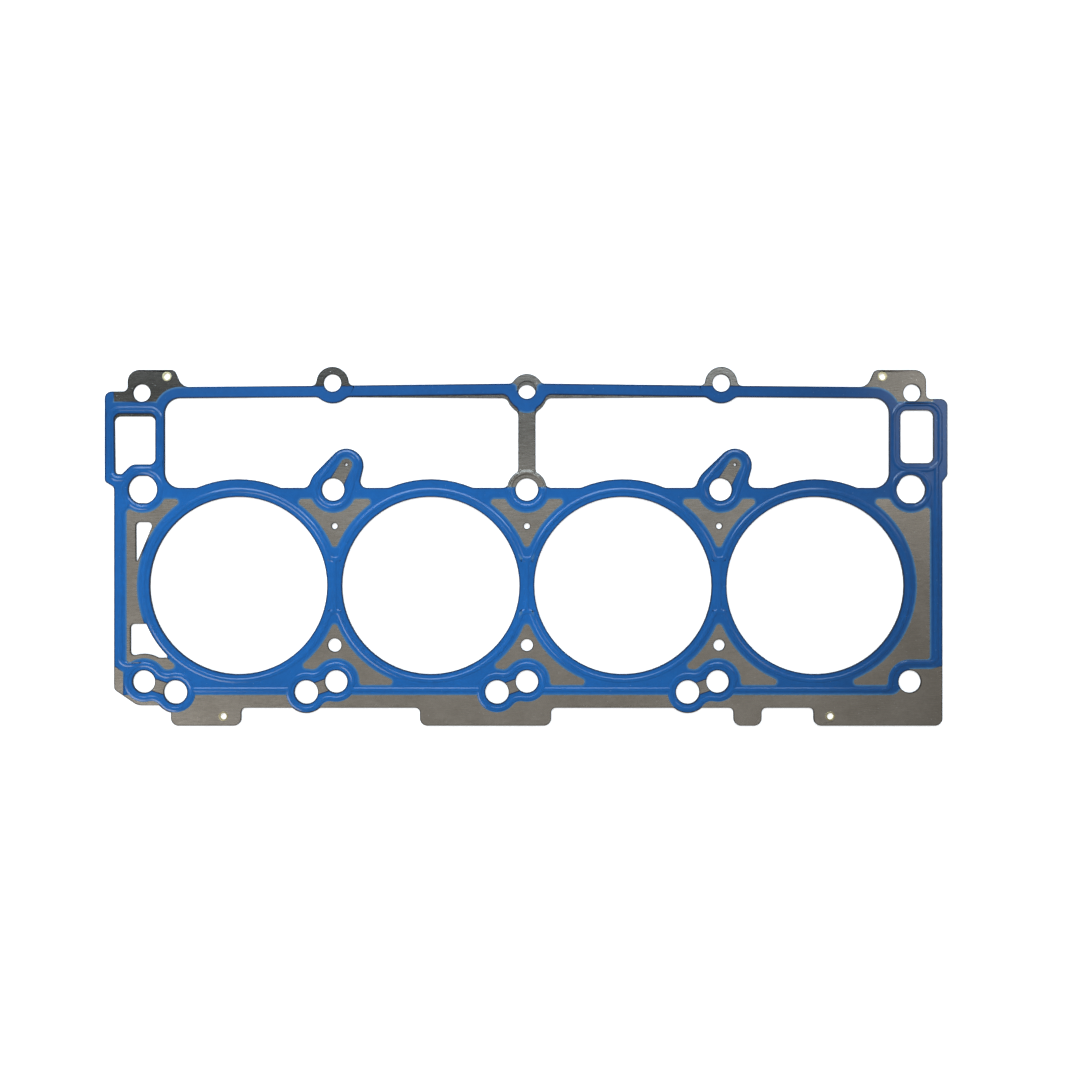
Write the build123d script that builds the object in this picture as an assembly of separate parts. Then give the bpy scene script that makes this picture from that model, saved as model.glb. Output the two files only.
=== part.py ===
from build123d import *
import os

# Cylinder head gasket of layered steel, for one bank of a V8 engine. All sizes are in millimetres.
# X runs along the row of bores, Y across it towards the pushrod side, and Z points at the cylinder head.
# The origin is the middle of the bore row, on the plane of the engine block.

# Bores
bore_count = 4
bore_pitch = 113.28
bore_radius = 52.24

# The flat lower layer, the embossed top layer and the sealing coat
lower_thickness = 0.80
top_thickness = 0.25
coat_thickness = 0.05

# Embossed beads: their height, flat crest and sloping side, and the lines that their crests follow
bead_height = 0.35
bead_crest = 0.90
bead_flank = 1.15
ring_bead_radius = 56.1
bridge_bead_reach = 15.6
bridge_bead_bend = 2.0
crotch_radius = 1.2
bolt_bead_radius = 10.1
waist_radius = 8.0
pin_bead_radius = 6.9
dowel_bead_radius = 10.8
left_window_bead = 2.95
right_window_bead = 3.9
left_bead_inset = 3.85
right_bead_inset = 3.5
foot_bead_y = -61.4
end_bead_y = -45.6
bead_turn = 4.0
bead_bend = 6.0
bead_sweep = 10.5

# Head bolts in two rows, with the larger holes of the dowel sleeves at the ends of the upper row
bolt_radius = 6.6
dowel_radius = 8.45
dowel_flat = 8.0
dowel_flat_turns = [(90, 270), (30, 150, 270)]
bolt_row_y = 56.6
upper_inner_x = 114.2
upper_outer_x = 226.4
lower_inner_x = 112.4
lower_outer_x = 225.7

# Oil drain holes beside the lower bolts
drain_radius = 6.9
drain_side = 17.6
drain_drop = 6.2
drain_lobe_radius = 12.4

# Coolant holes above and below each bridge
steam_y = 35.1
steam_radius = 1.75
transfer_radii = (3.95, 3.56, 3.30)

# Coolant slots beside the first bore
slot_x = -230.5
slot_top = 37.4
slot_head_width = 10.6
slot_height = 22.8
slot_point = (0.2, 1.1)
slot_corner = 2.3
slot_point_corner = 0.35
slot_lower_x = -233.6
slot_right_x = -212.0
slot_lower_span = (-42.6, -22.6)
slot_ring_radius = 58.9
slot_bolt_radius = 16.4

# Top rail, its ears and its small bolt holes. The top layer's rail is sprung outwards in the middle.
rail_y = 110.4
rail_width = 6.65
rail_rise = 0.75
rail_spread = 2.1
rail_hole_radius = 5.15
rail_end_side = 13.5
rail_end_y = 113.5
ear_x = 114.6
ear_y = 119.4
centre_ear_y = 113.1
ear_radius = 9.5
ear_inner_radius = 12.0
ear_flare = 3.0

# Pushrod windows, with the post between them
window_end_x = 213.5
window_sill_y = 57.6
window_corner = 9.0
window_arc_radius = 62.7
window_fillet = 4.0
post_width = 10.2
post_foot_radius = 11.3
dowel_wall = 6.6

# Lugs that lean into the windows from two upper bolts, each with a pinhole
lug_radius = 10.0
lug_root_radius = 14.3
lug_rise = 14.1
lug_leans = (7.8, 8.4)
pin_rise = 14.7
pin_radius = 0.8

# Corner windows, beyond a post at each end. The left one has a toe, and is taller in the top layer.
left_post = 5.5
left_window_width = 24.2
left_window_lean = 0.5
left_window_top = 99.7
left_window_shelf = 71.4
left_window_toe = 65.7
left_toe_width = 4.1
left_window_step = 1.5
left_window_corner = 3.5
left_toe_corner = 2.0
left_shelf_turn = 6.0
right_post = 6.7
right_window_size = (19.4, 31.0)
right_window_y = 87.7
right_window_corner = 3.8

# Outer edges, measured outwards from the corner windows
left_rim = 5.6
left_shoulder = 5.55
left_shoulder_span = (61.3, 114.4)
left_shoulder_drop = 3.3
right_rim = 8.3
right_shoulder = 3.0
right_shoulder_span = (65.1, 110.0)
right_shoulder_drop = 4.1
shoulder_corner = 4.2
shoulder_root = 2.8
foot_y = -72.05
end_foot_y = -70.6
end_cut = (13.75, 9.4)
end_cut_corners = (3.0, 8.0)
tab_foot_y = -82.6
tab_corner = 4.4
tab_root = 2.8

# Head tabs round the rail's end holes
head_tab_y = 127.1
head_tab_reach = 8.3
head_tab_insets = (5.7, 8.5)
head_tab_slope = 4.3
head_corner = 7.0
head_nose = 3.0

# Tabs along the foot, each from its left edge to its right one, and the last one's left edge
foot_tabs = [(-209.7, -168.4), (-63.0, 14.3), (121.8, 138.3)]
last_tab_x = 169.0

# Eyelets that hold the layers together, with their lower flanges let into the lower layer
head_eyelet_y = 123.2
head_eyelet_insets = (1.4, 4.0)
foot_eyelet_x = 178.8
foot_eyelet_y = -77.0
eyelet_bore_radius = 1.85
eyelet_wall = 0.22
eyelet_flange_width = 0.70
eyelet_flange_thickness = 0.18
eyelet_clearance = 0.05

# Sealing coat: a ring round each bore, bands along the windows and rails, and discs round the holes
coat_ring_radius = 60.0
coat_band = 6.65
coat_rail = 7.5
coat_disc_radius = 12.0
coat_disc_inner = 13.9
coat_end_disc = 13.1
coat_ear_radius = 10.0
coat_ear_drop = 3.6
coat_foot_y = -64.6
coat_floor_y = -58.5
coat_tab_y = 108.4
island_corner = 1.8
island_least = 12

# Patches that the coat leaves bare, beside those worked out from its bands
bare_tab_inset = 5.5
bare_left_y = -47.5
bare_left_cut = (5.25, 3.7)
bare_right_x = 221.0
bare_right_y = -49.2
bare_right_cut = (6.5, 1.8)
bare_foot_turn = 7.0
bare_cap_half = 5.8
bare_cap_turn = 2.5
bare_post_rise = 0.5
bare_post_drop = 10.0
bare_pin_radius = 3.4
bare_lug_radius = 4.5
bare_web_radius = 3.4
patch_least = 20

row_end = (bore_count - 1) / 2 * bore_pitch
bore_xs = [i * bore_pitch - row_end for i in range(bore_count)]
bridge_xs = [(a + b) / 2 for a, b in zip(bore_xs, bore_xs[1:])]
dowels = [(-upper_outer_x, bolt_row_y), (upper_outer_x, bolt_row_y)]
upper_bolts = [(x, bolt_row_y) for x in (-upper_inner_x, 0, upper_inner_x)]
lower_bolts = [(x, -bolt_row_y) for x in (-lower_outer_x, -lower_inner_x, 0, lower_inner_x, lower_outer_x)]
drain_sides = (drain_side + 1.0, -drain_side, -drain_side, -drain_side)
drains = [(x + side, y - drain_drop) for (x, y), side in zip(lower_bolts, drain_sides)]
pairs = list(zip(lower_bolts, drains))
lug_bolts = [upper_bolts[0], upper_bolts[-1]]
lug_tips = [(x + lean, y + lug_rise) for (x, y), lean in zip(lug_bolts, lug_leans)]
pins = [(x + lean, y + pin_rise) for (x, y), lean in zip(lug_bolts, lug_leans)]
rail_top = rail_y + rail_width
rail_end_x = window_end_x + rail_end_side
left_window_x = -window_end_x - left_post - left_window_width
left_shoulder_x = left_window_x - left_rim
left_x = left_shoulder_x + left_shoulder
right_window_x = window_end_x + right_post + right_window_size[0] / 2
right_shoulder_x = window_end_x + right_post + right_window_size[0] + right_rim
right_x = right_shoulder_x - right_shoulder
left_bead_x = left_x + left_bead_inset
right_bead_x = right_x - right_bead_inset
eyelet_spots = {
    "eyelet_head_left": (-window_end_x + head_eyelet_insets[0], head_eyelet_y),
    "eyelet_head_right": (window_end_x - head_eyelet_insets[1], head_eyelet_y),
    "eyelet_foot_left": (-foot_eyelet_x, foot_eyelet_y),
    "eyelet_foot_right": (foot_eyelet_x, foot_eyelet_y),
}
top_z = lower_thickness + top_thickness
crest_half = bead_crest / 2
foot_half = crest_half + bead_flank
far = 300


def disc(spot, radius):
    return Pos(*spot) * Circle(radius)


def box(x_low, x_high, y_low, y_high):
    middle = Pos((x_low + x_high) / 2, (y_low + y_high) / 2)
    return middle * Rectangle(x_high - x_low, y_high - y_low)


def outlined(corners):
    """A face from corners, each given as x, y and the radius that rounds it."""
    points = [(x, y) for x, y, radius in corners]
    radii = [radius for x, y, radius in corners]
    return make_face(FilletPolyline(*points, radius=radii, close=True))


def joined(shapes):
    shapes = list(shapes)
    whole = shapes[0]
    for shape in shapes[1:]:
        whole += shape
    return whole


def rounded(shape, radius, spots):
    """Rounds the corner of the shape that lies nearest to each spot."""
    for spot in spots:
        corner = shape.vertices().sort_by_distance(Vector(*spot))[0]
        shape = fillet(corner, radius)
    return shape


def largest(shape):
    return Sketch() + shape.faces().sort_by(SortBy.AREA)[-1]


def teardrop(root, root_radius, tip, tip_radius):
    """Two circles and the tangent lines that join them."""
    root, tip = Vector(*root), Vector(*tip)
    along = (tip - root).normalized()
    across = along.rotate(Axis.Z, 90)
    lead = (root_radius - tip_radius) / (tip - root).length
    side = (1 - lead**2) ** 0.5
    left = along * lead + across * side
    right = along * lead - across * side
    edges = [
        Line(root + right * root_radius, tip + right * tip_radius),
        ThreePointArc(tip + right * tip_radius, tip + along * tip_radius, tip + left * tip_radius),
        Line(tip + left * tip_radius, root + left * root_radius),
        ThreePointArc(root + left * root_radius, root - along * root_radius, root + right * root_radius),
    ]
    return make_face(edges)


def pair_disc(bolt, drain, radius):
    """Discs round a bolt hole and its drain hole, with a hollow waist on each side between them."""
    bolt, drain = Vector(*bolt), Vector(*drain)
    waist = waist_radius + bolt_bead_radius - radius
    along = (drain - bolt).normalized()
    across = along.rotate(Axis.Z, 90)
    middle = (bolt + drain) / 2
    reach = ((radius + waist) ** 2 - ((drain - bolt).length / 2) ** 2) ** 0.5
    left, right = middle + across * reach, middle - across * reach

    def touch(centre, hollow):
        return centre + (hollow - centre).normalized() * radius

    edges = [
        ThreePointArc(touch(bolt, left), bolt - along * radius, touch(bolt, right)),
        ThreePointArc(touch(bolt, right), right + across * waist, touch(drain, right)),
        ThreePointArc(touch(drain, right), drain + along * radius, touch(drain, left)),
        ThreePointArc(touch(drain, left), left - across * waist, touch(bolt, left)),
    ]
    return make_face(edges)


# Plan of the sheets


def ear_centres(spread):
    return [(-ear_x, ear_y), (0, centre_ear_y + spread), (ear_x, ear_y)]


def rail_line(y, spread):
    """Points along the rail at the level y, from right to left, without its ends."""
    return [(ear_x, y + rail_rise, 0), (0, y + spread, 0), (-ear_x, y + rail_rise, 0)]


def foot_corners():
    """Corners of the foot from left to right, with its tabs."""
    cut_x, cut_y = end_cut
    high_turn, low_turn = end_cut_corners
    corners = [(left_x, end_foot_y + cut_y, high_turn), (left_x + cut_x, end_foot_y, low_turn)]
    corners.append((foot_tabs[0][0], end_foot_y, 0))
    for left, right in foot_tabs:
        if left > foot_tabs[0][0]:
            corners.append((left, foot_y, tab_root))
        corners += [(left, tab_foot_y, tab_corner), (right, tab_foot_y, tab_corner)]
        corners.append((right, foot_y, tab_root))
    corners += [(last_tab_x, foot_y, tab_root), (last_tab_x, tab_foot_y, tab_corner)]
    return corners + [(right_x, tab_foot_y, tab_corner)]


def end_corners(side, edge_x, shoulder_x, span, drop, inset):
    """Corners of one end from the foot up: its shoulder, and the head tab down to the rail."""
    outer_x = side * (rail_end_x + head_tab_reach)
    nose_x = side * (window_end_x - inset)
    return [
        (edge_x, span[0] - drop, shoulder_root),
        (shoulder_x, span[0], shoulder_root),
        (shoulder_x, span[1], shoulder_corner),
        (outer_x, span[1], shoulder_root),
        (outer_x, head_tab_y, head_corner),
        (nose_x, head_tab_y, head_nose),
        (nose_x - side * head_tab_slope, rail_top, head_corner),
    ]


def outer_edge(spread):
    left_inset, right_inset = head_tab_insets
    left = end_corners(-1, left_x, left_shoulder_x, left_shoulder_span, left_shoulder_drop, left_inset)
    right = end_corners(1, right_x, right_shoulder_x, right_shoulder_span, right_shoulder_drop, right_inset)
    body = outlined(foot_corners() + right + rail_line(rail_top, spread) + left[::-1])
    feet = []
    for (x, y), rise in zip(ear_centres(spread), (rail_rise, spread, rail_rise)):
        body += disc((x, y), ear_radius)
        half = (ear_radius**2 - (rail_top + rise - y) ** 2) ** 0.5
        feet += [(x - half, rail_top + rise), (x + half, rail_top + rise)]
    body = rounded(body, ear_flare, feet)
    for spot in drains:
        body += disc(spot, drain_lobe_radius)
    return body


def pushrod_window(side, spread):
    """The window is drawn smaller by its fillet and then let out, so that all its corners come out round."""
    inset = window_fillet
    end_x = side * (window_end_x - inset)
    near_x = side * (post_width / 2 + inset)
    sill = window_sill_y + inset
    top = rail_y - inset
    shape = outlined(
        [
            (end_x, sill, window_corner - inset),
            (end_x, top, window_corner - inset),
            (side * ear_x, top + rail_rise, 0),
            (near_x, top + spread, 0),
            (near_x, sill, 0),
        ]
    )
    for x in bore_xs:
        shape -= disc((x, 0), window_arc_radius + inset)
    for bolt, tip in zip(lug_bolts, lug_tips):
        shape -= teardrop(bolt, lug_root_radius + inset, tip, lug_radius + inset)
    shape -= disc(upper_bolts[1], post_foot_radius + inset)
    for spot in ear_centres(spread):
        shape -= disc(spot, ear_inner_radius + inset)
    for spot in dowels:
        shape -= disc(spot, dowel_radius + dowel_wall + inset)
    return offset(largest(shape), amount=inset)


def left_corner_window(step):
    inner_x = -window_end_x - left_post
    foot_x = left_window_x + left_window_lean
    toe_x = foot_x + left_toe_width
    return outlined(
        [
            (left_window_x, left_window_top + step, left_window_corner),
            (foot_x, left_window_toe, left_toe_corner),
            (toe_x, left_window_toe, left_toe_corner),
            (toe_x + left_window_shelf - left_window_toe, left_window_shelf, left_shelf_turn),
            (inner_x, left_window_shelf, left_window_corner),
            (inner_x, left_window_top + step, left_window_corner),
        ]
    )


def right_corner_window(out=0):
    width, height = right_window_size
    shape = RectangleRounded(width + 2 * out, height + 2 * out, right_window_corner + out)
    return Pos(right_window_x, right_window_y) * shape


def upper_slot():
    """Coolant slot beside the first bore, with a slanted side that keeps clear of the ring."""
    low_y = slot_top - slot_height
    return outlined(
        [
            (slot_x, slot_top, slot_corner),
            (slot_x + slot_head_width, slot_top, slot_corner),
            (slot_x + slot_point[1], low_y, slot_point_corner),
            (slot_x + slot_point[0], low_y, slot_point_corner),
        ]
    )


def lower_slot():
    """Coolant slot that follows the ring of the first bore and the disc of the first bolt."""
    shape = box(slot_lower_x, slot_right_x, *slot_lower_span)
    shape -= disc((bore_xs[0], 0), slot_ring_radius)
    shape -= disc(lower_bolts[0], slot_bolt_radius)
    return rounded(largest(shape), slot_corner, [(slot_lower_x, y) for y in slot_lower_span])


def dowel_hole(spot, turns):
    """A hole for a dowel sleeve, with flats that grip it."""
    hole = disc(spot, dowel_radius)
    for turn in turns:
        hole -= Pos(*spot) * Rot(0, 0, turn) * box(dowel_flat, far, -dowel_radius, dowel_radius)
    return hole


def round_holes(spread):
    cuts = [disc((x, 0), bore_radius) for x in bore_xs]
    cuts += [dowel_hole(spot, turns) for spot, turns in zip(dowels, dowel_flat_turns)]
    cuts += [disc(spot, bolt_radius) for spot in upper_bolts + lower_bolts]
    cuts += [disc(spot, drain_radius) for spot in drains]
    for x, radius in zip(bridge_xs, transfer_radii):
        cuts += [disc((x, steam_y), steam_radius), disc((x, -steam_y), radius)]
    spots = ear_centres(spread) + [(-rail_end_x, rail_end_y), (rail_end_x, rail_end_y)]
    cuts += [disc(spot, rail_hole_radius) for spot in spots]
    cuts += [disc(spot, pin_radius) for spot in pins]
    eyelet_hole = eyelet_bore_radius + eyelet_wall + eyelet_clearance
    cuts += [disc(spot, eyelet_hole) for spot in eyelet_spots.values()]
    return joined(cuts)


def sheet_plan(spread, step):
    """The outline and holes of a sheet, with its middle rail sprung out and its corner window taller."""
    plan = outer_edge(spread)
    plan -= pushrod_window(-1, spread)
    plan -= pushrod_window(1, spread)
    plan -= left_corner_window(step)
    plan -= right_corner_window()
    plan -= upper_slot()
    plan -= lower_slot()
    plan -= round_holes(spread)
    return plan


# Embossed beads


def tapered(face):
    """The face raised to the bead's height, and drawn in by the bead's sloping side."""
    slope = Vector(bead_height, bead_flank).get_angle(Vector(1, 0))
    return extrude(face, amount=bead_height, taper=slope)


def sunk(face):
    """The face at the bead's height, drawn in by the sloping side on its way down."""
    return Pos(0, 0, bead_height) * mirror(tapered(face), about=Plane.XY)


def loop_bead(outline):
    """A bead that runs round a hole. The outline is a function of the distance outside the crest's line."""
    return tapered(outline(foot_half)) - sunk(outline(-crest_half))


def ring_beads():
    """The four combustion rings, which share one straight bead along each bridge."""
    swell = foot_half + crotch_radius
    outer = joined(disc((x, 0), ring_bead_radius + swell) for x in bore_xs)
    end_y = bridge_bead_reach + swell
    for x in bridge_xs:
        outer += box(x - bore_pitch / 2, x + bore_pitch / 2, -end_y, end_y)
    ridge = tapered(offset(outer, amount=-crotch_radius))
    for x in bore_xs:
        ridge -= sunk(bore_side(x))
    return ridge


def bore_side(bore_x):
    """The crest's inner line round one bore, straight along the bridges beside it."""
    shape = disc((bore_x, 0), ring_bead_radius - crest_half)
    height = 2 * (bridge_bead_reach - crest_half)
    for x in bridge_xs:
        if abs(x - bore_x) < bore_pitch:
            line_x = x + (crest_half if x < bore_x else -crest_half)
            beyond_x = 2 * x - bore_x
            straight = RectangleRounded(abs(line_x - bore_x), height, bridge_bead_bend)
            shape += Pos((line_x + bore_x) / 2, 0) * straight
            shape -= box(min(line_x, beyond_x), max(line_x, beyond_x), -far, far)
    return shape


def line_bead(corners, radius):
    """A bead along a line with its corners rounded."""
    path = FilletPolyline(*corners, radius=radius) if radius else Line(*corners)
    section = Polygon(
        (-foot_half, 0), (foot_half, 0), (crest_half, bead_height), (-crest_half, bead_height), align=None
    )
    ridge = []
    for edge in path.edges():
        start = Plane(edge @ 0, x_dir=(edge % 0).rotate(Axis.Z, 90), z_dir=edge % 0)
        face = start * section
        if edge.geom_type == GeomType.LINE:
            ridge.append(extrude(face, edge.length))
        else:
            turn = (edge % 0).get_signed_angle(edge % 1, Vector(0, 0, 1))
            ridge.append(revolve(face, Axis(edge.arc_center, (0, 0, 1)), turn))
    return joined(ridge)


def beside(spot, y, side):
    """The x at which the bead round a hole crosses the level y, left or right of the hole."""
    return spot[0] + side * (bolt_bead_radius**2 - (y - spot[1]) ** 2) ** 0.5


def window_bead_foot():
    """The level at which the end's upright bead meets the rounded corner of the right window's bead."""
    width, height = right_window_size
    corner = right_window_corner + right_window_bead
    corner_x = right_window_x + width / 2 - right_window_corner
    corner_y = right_window_y - height / 2 + right_window_corner
    return corner_y - (corner**2 - (right_bead_x - corner_x) ** 2) ** 0.5


def rail_beads():
    """Beads along the foot and the two ends, which run from loop to loop."""
    links = [(drains[0], drains[1]), (lower_bolts[1], drains[2]), (lower_bolts[2], drains[3])]
    ridges = []
    for start, stop in links:
        ends = [(beside(start, foot_bead_y, 1), foot_bead_y), (beside(stop, foot_bead_y, -1), foot_bead_y)]
        ridges.append(line_bead(ends, None))
    end_x, end_y = lower_bolts[-1]
    round_x = end_x - (end_bead_y - end_y)
    right_route = [
        (beside(lower_bolts[3], foot_bead_y, 1), foot_bead_y),
        (round_x, foot_bead_y),
        (round_x, end_bead_y),
        (right_bead_x, end_bead_y),
        (right_bead_x, window_bead_foot()),
    ]
    ridges.append(line_bead(right_route, [bead_turn, bead_sweep, bead_turn]))
    first_x, first_y = lower_bolts[0]
    dowel_x, dowel_y = dowels[0]
    reach = dowel_bead_radius * 0.5**0.5
    touch_x, touch_y = dowel_x - reach, dowel_y - reach
    left_route = [
        (first_x, first_y + bolt_bead_radius),
        (left_bead_x, first_y + bolt_bead_radius),
        (left_bead_x, touch_y - (touch_x - left_bead_x)),
        (touch_x, touch_y),
    ]
    ridges.append(line_bead(left_route, [bead_turn, bead_bend]))
    return ridges


def beads():
    ridges = [ring_beads()]
    for bolt, drain in pairs:
        ridges.append(loop_bead(lambda out: pair_disc(bolt, drain, bolt_bead_radius + out)))
    for bolt, pin in zip(lug_bolts, pins):
        ridges.append(
            loop_bead(lambda out: teardrop(bolt, bolt_bead_radius + out, pin, pin_bead_radius + out))
        )
    ridges.append(loop_bead(lambda out: disc(upper_bolts[1], bolt_bead_radius + out)))
    for spot in dowels:
        ridges.append(loop_bead(lambda out: disc(spot, dowel_bead_radius + out)))
    ridges.append(loop_bead(lambda out: right_corner_window(right_window_bead + out)))
    left_window = left_corner_window(left_window_step)
    ridges.append(loop_bead(lambda out: offset(left_window, amount=left_window_bead + out)))
    return joined(ridges + rail_beads())


# Sealing coat


def islands():
    """Bare fields between the coated rings, holes and rails, drawn small and let out as the windows are."""
    inset = island_corner
    low_y, high_y = coat_floor_y + inset, window_sill_y - coat_band - inset
    shape = box(left_x + coat_rail + inset, right_x - coat_rail - inset, low_y, high_y)
    for x in bore_xs:
        shape -= disc((x, 0), coat_ring_radius + inset)
    for spot in dowels + upper_bolts:
        shape -= disc(spot, coat_disc_inner + inset)
    for bolt, drain in pairs:
        shape -= pair_disc(bolt, drain, coat_disc_inner + inset)
    for drain_x, drain_y in drains[1:]:
        reach = coat_disc_inner + inset
        shape -= box(drain_x - 2 * reach, drain_x, -far, drain_y + reach)
    end_x, end_y = lower_bolts[-1]
    shape -= disc(lower_bolts[-1], coat_end_disc + inset)
    shape -= box(end_x, far, -far, end_y + coat_end_disc + inset)
    return joined(offset(face, amount=inset) for face in shape.faces() if face.area > island_least)


def bare_foot():
    """Bare steel below the coated band of the foot, with the tabs and the two lower corners."""
    cut_x, cut_y = bare_left_cut
    rise_x, rise_y = bare_right_cut
    end_x, end_y = lower_bolts[-1]
    shape = outlined(
        [
            (-far, bare_left_y, 0),
            (left_x, bare_left_y, 0),
            (left_x + cut_x, bare_left_y - cut_y, 0),
            (left_x + cut_x, coat_foot_y, 0),
            (bare_right_x, coat_foot_y, bare_foot_turn),
            (bare_right_x, end_y, 0),
            (end_x, end_y, 0),
            (end_x, bare_right_y, 0),
            (right_x - rise_x, bare_right_y, 0),
            (right_x, bare_right_y + rise_y, 0),
            (far, bare_right_y + rise_y, 0),
            (far, -far, 0),
            (-far, -far, 0),
        ]
    )
    for bolt, drain in pairs:
        shape -= pair_disc(bolt, drain, coat_disc_radius)
    return shape


def bare_tab(side, edge_x, inset):
    """Bare steel of one head tab, outside the coated band that turns the corner of the window."""
    turn_x = window_end_x - window_corner
    base_x = window_end_x - inset - head_tab_slope - head_corner
    shape = box(turn_x, edge_x, coat_tab_y, far) + box(base_x, turn_x, rail_top, far)
    shape -= disc((turn_x, rail_y - window_corner), window_corner + coat_band)
    shape = largest(shape)
    return shape if side > 0 else mirror(shape, about=Plane.YZ)


def bare_caps(spread):
    """The outer halves of the rail's ears. In the middle the bare steel reaches down to the hole."""
    caps = []
    for x in (-ear_x, ear_x):
        caps.append(box(x - ear_inner_radius, x + ear_inner_radius, rail_top + rail_rise, far))
    level = rail_top + spread
    cap = box(-ear_inner_radius, ear_inner_radius, level, far)
    cap += box(-bare_cap_half, bare_cap_half, centre_ear_y + spread, far)
    caps.append(rounded(cap, bare_cap_turn, [(-bare_cap_half, level), (bare_cap_half, level)]))
    return caps


def bare_post(spread):
    """The post, from just above the sill to the coat round the middle ear."""
    middle_y = centre_ear_y + spread
    half = post_foot_radius + window_fillet
    shape = box(-half, half, window_sill_y + bare_post_rise, middle_y - bare_post_drop)
    return shape - disc((0, middle_y - coat_ear_drop), coat_ear_radius)


def bare_patches(spread):
    patches = [islands(), bare_foot(), bare_post(spread), *bare_caps(spread)]
    patches.append(bare_tab(-1, -left_x, head_tab_insets[0]))
    patches.append(bare_tab(1, right_x - bare_tab_inset, head_tab_insets[1]))
    for bolt, pin in zip(lug_bolts, pins):
        patches.append(teardrop(bolt, bare_lug_radius, pin, bare_pin_radius))
    for bolt, drain in pairs:
        patches.append(teardrop(bolt, bare_web_radius, drain, bare_web_radius))
    return patches


def coat_plan(spread, step):
    plan = sheet_plan(spread, step)
    for patch in bare_patches(spread):
        plan -= patch
    return joined(Sketch() + face for face in plan.faces() if face.area > patch_least)


# Pieces of the gasket


def lower_layer():
    seat = eyelet_bore_radius + eyelet_wall + eyelet_flange_width + eyelet_clearance
    layer = extrude(sheet_plan(0, 0), lower_thickness)
    for spot in eyelet_spots.values():
        layer -= extrude(disc(spot, seat), eyelet_flange_thickness)
    return layer


def top_layer(ridge):
    layer = extrude(sheet_plan(rail_spread, left_window_step), top_thickness)
    layer += Pos(0, 0, top_thickness) * ridge
    return Pos(0, 0, lower_thickness) * (layer - ridge)


def sealing_coat(ridge):
    plan = coat_plan(rail_spread, left_window_step)
    coat = extrude(plan, coat_thickness)
    coat += Pos(0, 0, coat_thickness) * ridge & extrude(plan, bead_height + coat_thickness)
    return Pos(0, 0, top_z) * (coat - ridge)


def eyelet(spot):
    """A hollow rivet with a flange at each end and a flared mouth."""
    wall_radius = eyelet_bore_radius + eyelet_wall
    flange_radius = wall_radius + eyelet_flange_width
    flare = eyelet_flange_thickness / 2
    head_z = top_z + eyelet_flange_thickness
    profile = Polyline(
        (eyelet_bore_radius, flare),
        (eyelet_bore_radius + flare, 0),
        (flange_radius, 0),
        (flange_radius, eyelet_flange_thickness),
        (wall_radius, eyelet_flange_thickness),
        (wall_radius, top_z),
        (flange_radius, top_z),
        (flange_radius, head_z),
        (eyelet_bore_radius + flare, head_z),
        (eyelet_bore_radius, head_z - flare),
        close=True,
    )
    return Pos(*spot) * revolve(Plane.XZ * make_face(profile), Axis.Z)


if __name__ == "__main__":
    os.makedirs("parts", exist_ok=True)
    ridge = beads()
    export_step(lower_layer(), "parts/lower_layer.step")
    export_step(top_layer(ridge), "parts/top_layer.step")
    export_step(sealing_coat(ridge), "parts/sealing_coat.step")
    for name, spot in eyelet_spots.items():
        export_step(eyelet(spot), f"parts/{name}.step")
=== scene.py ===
"""Looks of a layered steel cylinder head gasket: sheets, blue coat, eyelets and studio."""

import math

import bmesh
import bpy
from bpy.props import FloatProperty, FloatVectorProperty, IntProperty, PointerProperty
from bpy.types import Operator, Panel, PropertyGroup
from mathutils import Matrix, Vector
from mathutils.bvhtree import BVHTree


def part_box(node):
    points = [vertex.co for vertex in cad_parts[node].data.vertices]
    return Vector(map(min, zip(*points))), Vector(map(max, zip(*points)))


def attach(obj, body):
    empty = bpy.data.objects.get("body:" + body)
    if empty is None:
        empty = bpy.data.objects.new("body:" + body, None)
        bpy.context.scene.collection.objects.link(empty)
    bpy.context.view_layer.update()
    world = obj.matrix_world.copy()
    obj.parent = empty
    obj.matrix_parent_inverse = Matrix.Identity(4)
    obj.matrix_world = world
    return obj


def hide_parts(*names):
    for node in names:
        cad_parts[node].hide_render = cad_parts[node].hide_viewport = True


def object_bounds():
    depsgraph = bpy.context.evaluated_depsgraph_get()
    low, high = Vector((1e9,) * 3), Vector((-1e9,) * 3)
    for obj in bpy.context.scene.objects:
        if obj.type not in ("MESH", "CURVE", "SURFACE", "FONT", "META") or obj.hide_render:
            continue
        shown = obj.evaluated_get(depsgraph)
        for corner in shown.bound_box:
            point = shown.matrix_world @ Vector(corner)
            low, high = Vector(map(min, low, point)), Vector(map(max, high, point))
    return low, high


bl_info = {
    "name": "Head gasket looks",
    "version": (1, 0, 0),
    "blender": (4, 5, 0),
    "location": "View3D > Sidebar > Gasket",
    "description": "Dresses the layers, the coat and the eyelets of a cylinder head gasket",
    "category": "Object",
}

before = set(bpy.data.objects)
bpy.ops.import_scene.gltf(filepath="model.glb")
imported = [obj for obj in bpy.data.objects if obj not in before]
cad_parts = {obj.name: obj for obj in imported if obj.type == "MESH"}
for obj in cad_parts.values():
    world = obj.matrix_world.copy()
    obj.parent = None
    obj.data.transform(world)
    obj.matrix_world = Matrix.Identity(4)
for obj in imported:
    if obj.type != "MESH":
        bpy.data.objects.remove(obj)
CAD_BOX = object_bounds()
BODY = "root"
EYELETS = sorted(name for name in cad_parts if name.startswith("eyelet"))
FLOOR_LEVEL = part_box("lower_layer")[0].z
MILLIMETRE = 0.001

# The row of bores and the inner foot of the bead round each
BORE_PITCH = 113.28 * MILLIMETRE
BORE_RADIUS = 52.24 * MILLIMETRE
RING_FOOT = 55.6 * MILLIMETRE

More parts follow.
